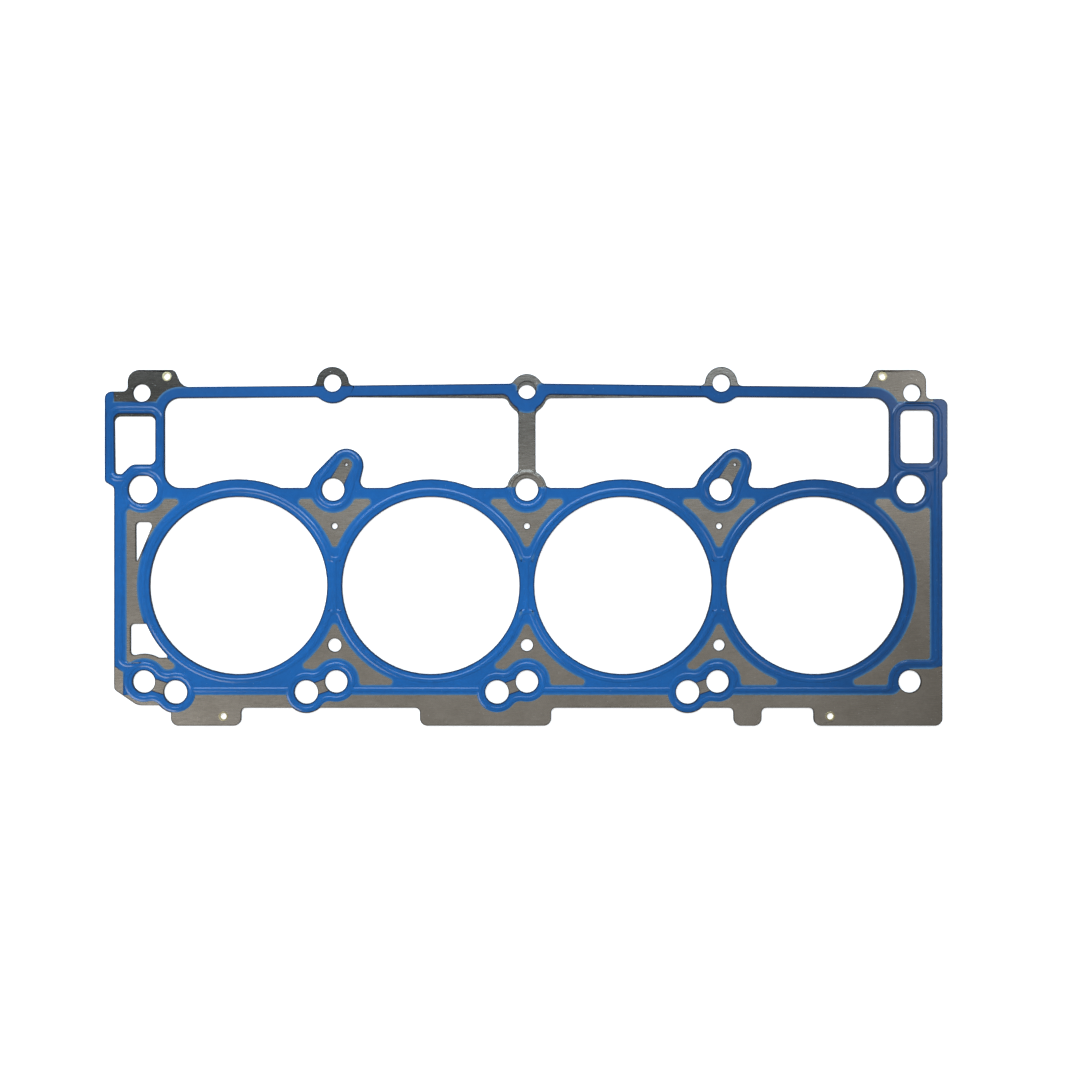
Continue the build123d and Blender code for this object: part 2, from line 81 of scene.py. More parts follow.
# How the faces of a sheet are told apart, by the height of their normals and by their slope
TOP_NORMAL = 0.05
FLAT_NORMAL = 0.999
WALL_NORMAL = 0.3
STEEPEST_FLANK = math.radians(60)

# Reaches in metres
WELD_REACH = 0.0004 * MILLIMETRE
SLICE_REACH = 1e-8
WALL_REACH = 0.6 * MILLIMETRE

# Thickness of an eyelet's rolled lips and of its tube
EYELET_LIP = 0.18 * MILLIMETRE
EYELET_WALL = 0.22 * MILLIMETRE

# Values kept on the sheets' corners: 1 on a border, and 1 beside a blanked edge
RIM = "rim"
CUT = "cut"

# The span in which most of a noise lies
MOST = (0.3, 0.7)

# Sizes of the patterns in the materials
COAT_CLOUD = 60 * MILLIMETRE
COAT_MOTTLE = 2.6 * MILLIMETRE
COAT_WEAVE = 0.9 * MILLIMETRE
COAT_GRAIN = 0.35 * MILLIMETRE
COAT_SPECK = 1.1 * MILLIMETRE
STEEL_CLOUD = 26 * MILLIMETRE
STEEL_LINE = 9 * MILLIMETRE
STEEL_HAIR = 2.2 * MILLIMETRE
STEEL_DAPPLE = 1.5 * MILLIMETRE
STEEL_SPECK = 0.8 * MILLIMETRE
STEEL_TEAR = 0.8 * MILLIMETRE
EYELET_TARNISH = 0.9 * MILLIMETRE
EYELET_GRAIN = 0.15 * MILLIMETRE

# How much patterns are drawn out along X or pressed together across it
WEAVE_SCALE = (1, 0.35, 1)
LINE_SCALE = (1, 22, 1)
HAIR_SCALE = (1, 40, 1)
TEAR_SCALE = (1, 1, 6)

# Depths of the fine relief
DISH_DEPTH = 0.22 * MILLIMETRE
WEAVE_DEPTH = 0.010 * MILLIMETRE
LINE_DEPTH = 0.006 * MILLIMETRE
TARNISH_DEPTH = 0.006 * MILLIMETRE
PLATING_DEPTH = 0.004 * MILLIMETRE
FINE_DEPTH = 0.003 * MILLIMETRE

# How strongly each pattern shows in the colour
CLOUDING = 0.10
MOTTLING = 0.07
STREAKING = 0.07
DAPPLING = 0.06

# Peaks of a fine noise that make specks, from and to, and how strongly they show
COAT_SPECKS = (0.80, 0.86, 0.3)
STEEL_SPECKS = (0.81, 0.86, 0.6)

# Spans of the rim mark over which the coat turns pale, and over which coat and steel take painted
# shade at cuts
PALE_RIM = (0.0, 0.85)
DARK_COAT_RIM = (0.25, 0.75)
DARK_STEEL_RIM = (0.5, 0.9)
COAT_DARKENING = 0.9
STEEL_DARKENING = 0.92

# Heights of a face's normal from which it counts as sloping, and as a cut edge
SLOPING = (0.99, 0.96)
UPRIGHT = (0.45, 0.25)

# Painted shade that dims the glint on the steel's bead sides, and the roughness added there
SLOPE_SHADE = 0.45
SLOPE_ROUGHNESS = 0.25

# Width over which steel edges take painted shade and eyelet lips turn paler
STEEL_EDGE = 0.45 * MILLIMETRE
EYELET_EDGE = 0.2 * MILLIMETRE

# Painted shade that deepens slowly, the coat's towards the right and the top and the steel's
# towards the top and the right: axis, start and end in metres, and the share taken away at the
# end
COAT_PAINTED_SHADE = (("X", 0.04, 0.22, 0.42), ("Y", 0.04, 0.12, 0.30))
STEEL_PAINTED_SHADE = (("Y", 0.05, 0.09, 0.45), ("X", 0.14, 0.25, 0.32))

# Painted shade on the upper left corner of the steel: where it sets in along X and Y, and what is
# left of the colour
SHADE_CORNER_LEFTWARD = (0.06, -0.12)
SHADE_CORNER_UPWARD = (0.06, 0.115)
SHADE_CORNER_LEVEL = 0.29

# Fixed colours
SPECK_BLUE = (0.16, 0.30, 0.50, 1)
LIP_BRASS = (0.80, 0.76, 0.62, 1)
WHITE = (1, 1, 1)

# The floor
FLOOR_REACH = 6
FLOOR_GREY = (0.92, 0.92, 0.92, 1)
FLOOR_GLOW = 0.45

# Studio lamps: where each stands, where it points and its two sides, in metres
LAMPS = {
    "key": ((-0.95, -0.70, 0.60), (-0.1, 0, 0), (0.8, 0.8)),
    "high strip": ((-0.10, 0.609, 0.508), (-0.08, 0.05, 0), (1.1, 0.12)),
    "low strip": ((-0.10, 0.395, 0.600), (-0.08, -0.06, 0), (1.1, 0.12)),
    "side panel": ((0.72, 0.25, 0.62), (0, 0, 0), (0.2, 0.5)),
}


# Settings


class GasketSheets(PropertyGroup):
    flank_rows: IntProperty(
        name="Flank rows",
        description="Rows of faces across each sloping side of an embossed bead",
        default=7,
        min=1,
        max=12,
    )
    bead_bend: FloatProperty(
        name="Bead bend",
        description="Share of a bead's side that each of its two bends takes up",
        default=0.25,
        min=0.05,
        max=0.5,
        subtype="FACTOR",
    )
    least_slope: FloatProperty(
        name="Least slope",
        description="Faces steeper than this are taken as the sides of a bead",
        default=math.radians(4),
        subtype="ANGLE",
    )
    sharp_angle: FloatProperty(
        name="Sharp angle",
        description="Edges that turn more than this stay sharp",
        default=math.radians(35),
        subtype="ANGLE",
    )
    rim_width: FloatProperty(
        name="Rim width",
        description="Width of the strip along a sheet's borders, dark at cuts and pale elsewhere",
        default=1.30 * MILLIMETRE,
        unit="LENGTH",
        precision=5,
    )
    lip_steps: IntProperty(
        name="Lip steps",
        description="Steps round the rolled lip of an eyelet",
        default=9,
        min=3,
        max=24,
    )
    eyelet_sides: IntProperty(
        name="Eyelet sides",
        description="Faces round an eyelet",
        default=72,
        min=12,
        max=160,
    )


class GasketFinish(PropertyGroup):
    coat_colour: FloatVectorProperty(
        name="Coat",
        description="Colour of the sealing coat",
        default=(0.0055, 0.108, 0.350, 1),
        size=4,
        subtype="COLOR",
        min=0,
        max=1,
    )
    coat_pale: FloatVectorProperty(
        name="Coat, thin",
        description="Colour of the coat where it is thin, along its printed border",
        default=(0.075, 0.185, 0.300, 1),
        size=4,
        subtype="COLOR",
        min=0,
        max=1,
    )
    # Painted shade: the near-black navy laid along the coat beside blanked edges.
    coat_shade: FloatVectorProperty(
        name="Coat, at cuts",
        description="Colour of the coat where the sheet rolls over at a blanked edge",
        default=(0.004, 0.012, 0.030, 1),
        size=4,
        subtype="COLOR",
        min=0,
        max=1,
    )
    coat_roughness: FloatProperty(
        name="Coat roughness",
        description="Roughness of the coat",
        default=0.45,
        min=0,
        max=1,
    )
    steel_colour: FloatVectorProperty(
        name="Steel",
        description="Colour of the rolled steel",
        default=(0.56, 0.510, 0.440, 1),
        size=4,
        subtype="COLOR",
        min=0,
        max=1,
    )
    steel_dark: FloatVectorProperty(
        name="Steel, stained",
        description="Colour of the steel in its darker streaks and stains",
        default=(0.45, 0.405, 0.340, 1),
        size=4,
        subtype="COLOR",
        min=0,
        max=1,
    )
    # Painted shade: the near-black given to the steel's blanked edges and cut walls, which are
    # seen unlit.
    cut_shade_colour: FloatVectorProperty(
        name="Cut edge",
        description="Colour of the blanked edges of the sheets",
        default=(0.012, 0.011, 0.010, 1),
        size=4,
        subtype="COLOR",
        min=0,
        max=1,
    )
    steel_roughness: FloatProperty(
        name="Steel roughness",
        description="Roughness of the rolled steel",
        default=0.26,
        min=0,
        max=1,
    )
    eyelet_colour: FloatVectorProperty(
        name="Eyelet",
        description="Colour of the plated eyelets",
        default=(0.66, 0.58, 0.34, 1),
        size=4,
        subtype="COLOR",
        min=0,
        max=1,
    )


class GasketStage(PropertyGroup):
    frame_width: FloatProperty(
        name="Frame width",
        description="Width that the camera sees on the plane of the gasket",
        default=0.6359,
        unit="LENGTH",
    )
    frame_centre: FloatVectorProperty(
        name="Frame centre",
        description="Point of the gasket's plane in the middle of the picture",
        default=(0.00774, 0.02682, 0),
        size=3,
        subtype="XYZ",
        unit="LENGTH",
    )
    camera_height: FloatProperty(
        name="Camera height",
        description="Height of the camera above the gasket",
        default=0.50,
        unit="LENGTH",
    )
    key_power: FloatProperty(
        name="Key light",
        description="Power of the broad light at the lower left",
        default=8.0,
        unit="POWER",
    )
    strip_power: FloatProperty(
        name="Strip lights",
        description="Power of each of the two long lights that draw glints along the beads",
        default=3.4,
        unit="POWER",
    )
    strip_colour: FloatVectorProperty(
        name="Strip colour",
        description="Colour of the two long lights",
        default=(0.68, 0.84, 1.0),
        size=3,
        subtype="COLOR",
        min=0,
        max=1,
    )
    side_power: FloatProperty(
        name="Side light",
        description="Power of the narrow light at the right",
        default=0.6,
        unit="POWER",
    )
    world_strength: FloatProperty(
        name="Room light",
        description="Strength of the even light from all round",
        default=0.30,
    )


# Materials


class Nodes:
    """A short way to build a material's node tree."""

    def __init__(self, name):
        self.material = bpy.data.materials.new(name)
        self.material.use_nodes = True
        self.tree = self.material.node_tree
        self.tree.nodes.clear()
        self.output = self.tree.nodes.new("ShaderNodeOutputMaterial")
        self.shader = self.tree.nodes.new("ShaderNodeBsdfPrincipled")
        self.link(self.shader.outputs[0], self.output.inputs["Surface"])

    def link(self, source, target):
        self.tree.links.new(source, target)

    def add(self, kind, **values):
        node = self.tree.nodes.new(kind)
        for key, value in values.items():
            setattr(node, key, value)
        return node

    def place(self, scale=(1, 1, 1)):
        """Object coordinates in metres, scaled along each axis."""
        coordinates = self.add("ShaderNodeTexCoord")
        mapping = self.add("ShaderNodeMapping")
        mapping.inputs["Scale"].default_value = scale
        self.link(coordinates.outputs["Object"], mapping.inputs["Vector"])
        return mapping.outputs["Vector"]

    def along(self, axis):
        """The object coordinate along X, Y or Z, in metres."""
        coordinates = self.add("ShaderNodeTexCoord")
        split = self.add("ShaderNodeSeparateXYZ")
        self.link(coordinates.outputs["Object"], split.inputs[0])
        return split.outputs[axis]

    def noise(self, vector, size, detail=3.0, roughness=0.5):
        """Noise whose blotches are about size metres across."""
        node = self.add("ShaderNodeTexNoise")
        node.inputs["Scale"].default_value = 1 / size
        node.inputs["Detail"].default_value = detail
        node.inputs["Roughness"].default_value = roughness
        self.link(vector, node.inputs["Vector"])
        return node.outputs["Fac"]

    def ramp(self, value, low, high, low_out=0.0, high_out=1.0):
        """Maps value from the span low to high onto the given outputs, and clamps it."""
        node = self.add("ShaderNodeMapRange")
        node.inputs["From Min"].default_value = low
        node.inputs["From Max"].default_value = high
        node.inputs["To Min"].default_value = low_out
        node.inputs["To Max"].default_value = high_out
        self.link(value, node.inputs["Value"])
        return node.outputs["Result"]

    def vary(self, noise, amount):
        """A level about 1 that follows a noise up and down by the amount."""
        return self.ramp(noise, *MOST, 1 - amount, 1 + amount)

    def specks(self, vector, size, low, high, strength):
        """Rare small dots where a fine noise peaks, full from high on."""
        dots = self.ramp(self.noise(vector, size, detail=0), low, high)
        return self.math("MULTIPLY", dots, strength)

    def math(self, operation, first, second):
        node = self.add("ShaderNodeMath", operation=operation)
        for socket, value in zip(node.inputs, (first, second)):
            if isinstance(value, (int, float)):
                socket.default_value = value
            else:
                self.link(value, socket)
        return node.outputs[0]

    def mix(self, share, first, second):
        """Mixes two colours, each a socket or a tuple."""
        node = self.add("ShaderNodeMix", data_type="RGBA")
        self.link(share, node.inputs[0])
        for socket, colour in zip((node.inputs[6], node.inputs[7]), (first, second)):
            if isinstance(colour, tuple):
                socket.default_value = colour
            else:
                self.link(colour, socket)
        return node.outputs[2]

    def steep(self, flat, full):
        """How far a face tilts: 0 while its normal is higher than flat, and 1 below full."""
        geometry = self.add("ShaderNodeNewGeometry")
        split = self.add("ShaderNodeSeparateXYZ")
        self.link(geometry.outputs["True Normal"], split.inputs[0])
        height = self.math("ABSOLUTE", split.outputs["Z"], 0)
        return self.ramp(height, flat, full)

    def near_edge(self, reach):
        """1 beside sharp edges and 0 away from them, over the given reach in metres."""
        bevel = self.add("ShaderNodeBevel", samples=6)
        bevel.inputs["Radius"].default_value = reach
        geometry = self.add("ShaderNodeNewGeometry")
        node = self.add("ShaderNodeVectorMath", operation="DOT_PRODUCT")
        self.link(bevel.outputs["Normal"], node.inputs[0])
        self.link(geometry.outputs["Normal"], node.inputs[1])
        return self.ramp(node.outputs["Value"], 0.995, 0.80)

    def dished(self):
        """Height of the sheet inside a ring bead: 0 at the bore's edge and 1 from the bead on."""
        shifted = self.math("ADD", self.along("X"), BORE_PITCH * 10)
        wrapped = self.math("FLOORED_MODULO", shifted, BORE_PITCH)
        across = self.math("SUBTRACT", wrapped, BORE_PITCH / 2)
        squares = self.math("ADD", self.square(across), self.square(self.along("Y")))
        radius = self.math("POWER", squares, 0.5)
        return self.ramp(radius, BORE_RADIUS, RING_FOOT)

    def square(self, value):
        return self.math("MULTIPLY", value, value)

    def mark(self, name):
        """A value kept on the mesh's corners."""
        return self.add("ShaderNodeAttribute", attribute_name=name).outputs["Fac"]

    def fade(self, axis, start, end, amount):
        """A level that falls from 1 at start to 1 - amount at end, along an axis in metres."""
        return self.ramp(self.along(axis), start, end, 1, 1 - amount)

    def toned(self, colour, *levels):
        """A colour, as a socket or a tuple, multiplied by each of the levels."""
        level = levels[0]
        for other in levels[1:]:
            level = self.math("MULTIPLY", level, other)
        node = self.add("ShaderNodeVectorMath", operation="SCALE")
        if isinstance(colour, tuple):
            node.inputs[0].default_value = colour[:3]
        else:
            self.link(colour, node.inputs[0])
        self.link(level, node.inputs["Scale"])
        return node.outputs[0]

    def bump(self, *heights):
        """Chains bumps, each given as a height socket and its depth in metres."""
        normal = None
        for height, depth in heights:
            node = self.add("ShaderNodeBump")
            node.inputs["Strength"].default_value = 1
            node.inputs["Distance"].default_value = depth
            self.link(height, node.inputs["Height"])
            if normal:
                self.link(normal, node.inputs["Normal"])
            normal = node.outputs["Normal"]
        self.link(normal, self.shader.inputs["Normal"])


def scaled(colour, factor):
    """An opaque colour with its three parts multiplied, and none above 1."""
    return tuple(min(1, part * factor) for part in colour[:3]) + (1,)


def coat_material(finish):
    """Screen-printed blue elastomer: satin, mottled and pale at its border, with painted shade at
    cuts and towards the right and the top.
    """
    nodes = Nodes("blue sealing coat")
    shader = nodes.shader
    place = nodes.place()
    clouds = nodes.noise(place, COAT_CLOUD, detail=2)
    mottle = nodes.noise(place, COAT_MOTTLE, detail=5, roughness=0.62)
    grain = nodes.noise(place, COAT_GRAIN, detail=2)
    weave = nodes.noise(nodes.place(WEAVE_SCALE), COAT_WEAVE, detail=3)
    # Painted shade: the coat's colour is made darker towards the right and the top.
    painted_shades = [nodes.fade(*change) for change in COAT_PAINTED_SHADE]
    levels = [nodes.vary(clouds, CLOUDING), nodes.vary(mottle, MOTTLING)] + painted_shades
    base = nodes.toned(tuple(finish.coat_colour), *levels)

    rim = nodes.mark(RIM)
    cut = nodes.mark(CUT)
    thin = nodes.math("MULTIPLY", nodes.ramp(rim, *PALE_RIM), nodes.math("SUBTRACT", 1, cut))
    patchy = nodes.ramp(mottle, 0.35, 0.65, 0.70, 1.00)
    base = nodes.mix(nodes.math("MULTIPLY", thin, patchy), base, tuple(finish.coat_pale))
    # Painted shade: the coat turns near-black navy beside blanked edges, where the cut wall and
    # its shadow are seen.
    painted_edge_shade = nodes.math("MULTIPLY", nodes.ramp(rim, *DARK_COAT_RIM), cut)
    darkened = nodes.math("MULTIPLY", painted_edge_shade, COAT_DARKENING)
    base = nodes.mix(darkened, base, tuple(finish.coat_shade))
    base = nodes.mix(nodes.specks(place, COAT_SPECK, *COAT_SPECKS), base, SPECK_BLUE)
    nodes.link(base, shader.inputs["Base Color"])

    rough = finish.coat_roughness
    nodes.link(nodes.ramp(mottle, *MOST, rough - 0.05, rough + 0.07), shader.inputs["Roughness"])
    shader.inputs["Specular IOR Level"].default_value = 0.0
    shader.inputs["Coat Weight"].default_value = 1.0
    shader.inputs["Coat Roughness"].default_value = 0.18
    nodes.bump((nodes.dished(), DISH_DEPTH), (weave, WEAVE_DEPTH), (grain, FINE_DEPTH))
    return nodes.material


def steel_material(name, finish, layer_shade):
    """Rolled steel sheet: lines along the roll, brown stains, bright specks, and painted shade at
    cut edges, on bead sides and towards the top, right and upper left.
    """
    nodes = Nodes(name)
    shader = nodes.shader
    place = nodes.place()
    lines = nodes.noise(nodes.place(LINE_SCALE), STEEL_LINE, detail=6, roughness=0.7)
    hair = nodes.noise(nodes.place(HAIR_SCALE), STEEL_HAIR, detail=3)
    clouds = nodes.noise(place, STEEL_CLOUD, detail=4, roughness=0.6)
    dapple = nodes.noise(place, STEEL_DAPPLE, detail=3, roughness=0.6)
    # The steel's colours are scaled by the given level, painted shade for a layer that lies
    # lower.
    light = scaled(finish.steel_colour, layer_shade)
    dark = scaled(finish.steel_dark, layer_shade)
    streaks = nodes.ramp(lines, 0.2, 0.8, 0.5, 1.0)
    stains = nodes.math("MULTIPLY", nodes.ramp(clouds, 0.40, 0.72), streaks)
    base = nodes.mix(stains, light, dark)

    # Painted shade: the steel is made darker towards the top and the right, and darkest in its
    # upper left corner.
    leftward = nodes.ramp(nodes.along("X"), *SHADE_CORNER_LEFTWARD)
    upward = nodes.ramp(nodes.along("Y"), *SHADE_CORNER_UPWARD)
    corner = nodes.ramp(nodes.math("MULTIPLY", leftward, upward), 0, 1, 1, SHADE_CORNER_LEVEL)
    painted_shades = [nodes.fade(*change) for change in STEEL_PAINTED_SHADE]
    levels = [nodes.vary(lines, STREAKING), nodes.vary(dapple, DAPPLING)] + painted_shades + [corner]
    base = nodes.toned(base, *levels)
    bright = scaled(light, 2.2)
    base = nodes.mix(nodes.specks(place, STEEL_SPECK, *STEEL_SPECKS), base, bright)

    # Painted shade: the steel turns near-black beside its borders and sharp edges.
    rims = nodes.ramp(nodes.mark(RIM), *DARK_STEEL_RIM)
    painted_edge_shade = nodes.math("MAXIMUM", nodes.near_edge(STEEL_EDGE), rims)
    darkened = nodes.math("MULTIPLY", painted_edge_shade, STEEL_DARKENING)
    base = nodes.mix(darkened, base, tuple(finish.cut_shade_colour))
    # Painted shade: the steel's colour is darkened on the sides of the beads, to dim their glint.
    sloped = nodes.steep(*SLOPING)
    base = nodes.toned(base, nodes.ramp(sloped, 0, 1, 1, SLOPE_SHADE))
    # Painted shade: the upright cut walls are near-black and not metallic, with a few torn
    # streaks of stained steel.
    tears = nodes.noise(nodes.place(TEAR_SCALE), STEEL_TEAR, detail=3)
    torn = nodes.mix(nodes.ramp(tears, 0.5, 0.8, 0, 0.08), tuple(finish.cut_shade_colour), dark)
    cut = nodes.steep(*UPRIGHT)
    nodes.link(nodes.mix(cut, base, torn), shader.inputs["Base Color"])
    nodes.link(nodes.math("SUBTRACT", 1, cut), shader.inputs["Metallic"])
    shader.inputs["Specular IOR Level"].default_value = 0.1

    rough = finish.steel_roughness
    rolled = nodes.ramp(lines, 0.25, 0.75, rough - 0.06, rough + 0.08)
    scuffed = nodes.math("ADD", rolled, nodes.math("MULTIPLY", sloped, SLOPE_ROUGHNESS))
    nodes.link(scuffed, shader.inputs["Roughness"])
    nodes.bump((lines, LINE_DEPTH), (hair, FINE_DEPTH), (dapple, FINE_DEPTH))
    return nodes.material


def eyelet_material(finish):
    """Pale plated brass with dull patches, paler towards the edges of its rolled lips."""
    nodes = Nodes("plated eyelet")
    shader = nodes.shader
    place = nodes.place()
    tarnish = nodes.noise(place, EYELET_TARNISH, detail=4, roughness=0.6)
    grain = nodes.noise(place, EYELET_GRAIN, detail=3)
    plated = tuple(finish.eyelet_colour)
    base = nodes.mix(nodes.ramp(tarnish, 0.42, 0.72), plated, scaled(plated, 0.55))
    # The eyelet turns a paler brass near the edges of its lips.
    paler_lips = nodes.math("MULTIPLY", nodes.near_edge(EYELET_EDGE), 0.5)
    nodes.link(nodes.mix(paler_lips, base, LIP_BRASS), shader.inputs["Base Color"])
    shader.inputs["Metallic"].default_value = 1
    nodes.link(nodes.ramp(tarnish, *MOST, 0.24, 0.42), shader.inputs["Roughness"])
    nodes.bump((grain, PLATING_DEPTH), (tarnish, TARNISH_DEPTH))
    return nodes.material


# Sheets


def unique(items):
    """The items once each, in the order in which they first come."""
    return list(dict.fromkeys(items))


def new_object(name, mesh):
    """Turns a bmesh into an object of the scene."""
    data = bpy.data.meshes.new(name)
    mesh.to_mesh(data)
    mesh.free()
    item = bpy.data.objects.new(name, data)
    bpy.context.scene.collection.objects.link(item)
    return item


def shade_smooth(piece, sheets):
    """Smooth shading that stops at sharp edges."""
    data = piece.data
    data.polygons.foreach_set("use_smooth", [True] * len(data.polygons))
    data.set_sharp_from_angle(angle=sheets.sharp_angle)


def keep_flats(piece):
    """Turns corner normals towards the widest faces, so flats stay flat beside the beads."""
    modifier = piece.modifiers.new("Flat faces stay flat", "WEIGHTED_NORMAL")
    modifier.mode = "FACE_AREA"
    modifier.keep_sharp = True
    modifier.weight = 100


def swell(share, bend):
    """Height of a bead's side, from 0 to 1: an even slope between two soft bends."""
    if share > 0.5:
        return 1 - swell(1 - share, bend)
    slope = 1 / (1 - bend)
    if share < bend:
        return slope * share * share / (2 * bend)
    return slope * (share - bend / 2)


def welded(node):
    """A mesh of the CAD node with its split corners joined."""
    mesh = bmesh.new()
    mesh.from_mesh(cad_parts[node].data)
    bmesh.ops.remove_doubles(mesh, verts=mesh.verts, dist=WELD_REACH)
    return mesh


def flat_level(mesh):
    """Height of the sheet's upper flat face, which is the widest of the faces that look up."""
    areas = {}
    mesh.normal_update()
    for face in mesh.faces:
        if face.normal.z > FLAT_NORMAL:
            level = round(face.calc_center_median().z, 6)
            areas[level] = areas.get(level, 0) + face.calc_area()
    return max(areas, key=areas.get)


def is_flank(face, least_slope):
    """Whether a face is the sloping side of a bead, on either side of the sheet."""
    slope = face.normal.angle(Vector((0, 0, 1)), 0)
    slope = min(slope, math.pi - slope)
    return least_slope < slope < STEEPEST_FLANK


def soften_beads(mesh, upward, base, crest, sheets):
    """Cuts the beads' sloping sides into rows and bends them softly at foot and crest."""
    mesh.normal_update()
    height = crest - base
    flanks = [f for f in mesh.faces if is_flank(f, sheets.least_slope)]
    flanks = [f for f in flanks if (f.normal.z > 0) == upward]
    corners = {v for f in flanks for v in f.verts}
    for row in range(1, sheets.flank_rows):
        level = base + height * row / sheets.flank_rows
        edges = unique(e for f in flanks for e in f.edges)
        ends = unique(v for f in flanks for v in f.verts)
        slice_plane = {"plane_co": (0, 0, level), "plane_no": (0, 0, 1)}
        sliced = bmesh.ops.bisect_plane(
            mesh, geom=flanks + edges + ends, dist=SLICE_REACH, **slice_plane
        )
        corners.update(v for v in sliced["geom_cut"] if isinstance(v, bmesh.types.BMVert))
        flanks = [f for f in sliced["geom"] if isinstance(f, bmesh.types.BMFace) and f.is_valid]
    for corner in corners:
        if corner.is_valid:
            share = min(1, max(0, (corner.co.z - base) / height))
            corner.co.z = base + height * swell(share, sheets.bead_bend)


def blanked_walls(node):
    """A search tree of the cut walls of a sheet."""
    mesh = welded(node)
    mesh.normal_update()
    walls = [[v.index for v in f.verts] for f in mesh.faces if abs(f.normal.z) < WALL_NORMAL]
    tree = BVHTree.FromPolygons([v.co.copy() for v in mesh.verts], walls)
    mesh.free()
    return tree


def mark_rims(mesh, width, walls, flat, crest):
    """Cuts a strip along the borders of the upper face, and marks borders and blanked edges."""
    mesh.normal_update()
    tops = [f for f in mesh.faces if f.normal.z > TOP_NORMAL]
    rim = mesh.verts.layers.float.new(RIM)
    cut = mesh.verts.layers.float.new(CUT)
    strip = bmesh.ops.inset_region(mesh, faces=tops, thickness=width, use_boundary=True)
    inner = {v for f in tops for v in f.verts}
    for edge in unique(e for f in strip["faces"] for e in f.edges):
        first, second = edge.verts
        if (first in inner) == (second in inner):
            continue
        border, moved = (second, first) if first in inner else (first, second)
        border[rim] = 1
        moved.co.z = min(crest, max(flat, moved.co.z))
        if walls.find_nearest(border.co)[3] < WALL_REACH:
            border[cut] = moved[cut] = 1


def fine_sheet(node, name, sheets):
    """A sheet that stands for an embossed node, with softer beads on both of its faces."""
    low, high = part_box(node)
    mesh = welded(node)
    flat = flat_level(mesh)
    bead = high.z - flat
    mark_rims(mesh, sheets.rim_width, blanked_walls("top_layer"), flat, high.z)
    soften_beads(mesh, True, flat, high.z, sheets)
    soften_beads(mesh, False, low.z, low.z + bead, sheets)
    piece = new_object(name, mesh)
    shade_smooth(piece, sheets)
    keep_flats(piece)
    return piece


# Eyelets


def turned(centre, radius, start, turn, steps):
    """Points round part of a circle, from the angle start through the angle turn."""
    angles = [start + turn * step / steps for step in range(steps + 1)]
    return [(centre[0] + radius * math.cos(a), centre[1] + radius * math.sin(a)) for a in angles]


def eyelet_section(low, high, bore, flange, steps):
    """The rolled section as radius and height, from the upper mouth round to the lower."""
    lip = EYELET_LIP / 2
    wall = bore + EYELET_WALL
    quarter = math.pi / 2
    half = math.pi
    return (
        turned((bore + lip, high - lip), lip, half, -quarter, steps)
        + turned((flange - lip, high - lip), lip, quarter, -half, 2 * steps)
        + [(wall, high - EYELET_LIP), (wall, low + EYELET_LIP)]
        + turned((flange - lip, low + lip), lip, quarter, -half, 2 * steps)
        + turned((bore + lip, low + lip), lip, -quarter, -quarter, steps)
    )


def eyelet_reach(node):
    """The radii of an eyelet's bore and flange, and its centre, from its node."""
    low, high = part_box(node)
    centre = (low + high) / 2
    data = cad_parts[node].data
    reach = [(v.co.xy - centre.xy).length for v in data.vertices]
    return min(reach), max(reach), centre


def rolled_eyelet(node, sheets):
    """A smooth ring that stands for an eyelet, with rolled lips."""
    low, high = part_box(node)
    bore, flange, centre = eyelet_reach(node)
    section = eyelet_section(low.z, high.z, bore, flange, sheets.lip_steps)
    mesh = bmesh.new()
    rings = []
    for side in range(sheets.eyelet_sides):
        turn = 2 * math.pi * side / sheets.eyelet_sides
        across, up = math.cos(turn), math.sin(turn)
        spots = [(centre.x + r * across, centre.y + r * up, z) for r, z in section]
        rings.append([mesh.verts.new(spot) for spot in spots])
    for first, second in zip(rings, rings[1:] + rings[:1]):
        for here in range(len(section)):
            after = (here + 1) % len(section)
            mesh.faces.new((first[here], second[here], second[after], first[after]))
    bmesh.ops.recalc_face_normals(mesh, faces=mesh.faces)
    piece = new_object(node.replace("eyelet", "rolled_eyelet"), mesh)
    shade_smooth(piece, sheets)
    return piece


# Studio


def area_light(name, power, colour=WHITE):
    """One of the studio's lamps, turned towards its target."""
    place, target, size = LAMPS[name]
    light = bpy.data.lights.new(name, "AREA")
    light.shape = "RECTANGLE"
    light.size, light.size_y = size
    light.energy = power
    light.color = colour
    lamp = bpy.data.objects.new(name, light)
    lamp.location = place
    lamp.rotation_euler = (Vector(target) - Vector(place)).to_track_quat("-Z", "Y").to_euler()
    bpy.context.scene.collection.objects.link(lamp)


def top_camera(stage):
    """A camera that looks straight down and sees the stated width."""
    camera = bpy.data.cameras.new("camera")
    camera.sensor_width = 36
    camera.lens = camera.sensor_width * stage.camera_height / stage.frame_width
    camera.clip_start = 0.01
    camera.clip_end = 20
    holder = bpy.data.objects.new("camera", camera)
    above = Vector((0, 0, stage.camera_height + CAD_BOX[1].z))
    holder.location = Vector(stage.frame_centre) + above
    bpy.context.scene.collection.objects.link(holder)
    bpy.context.scene.camera = holder


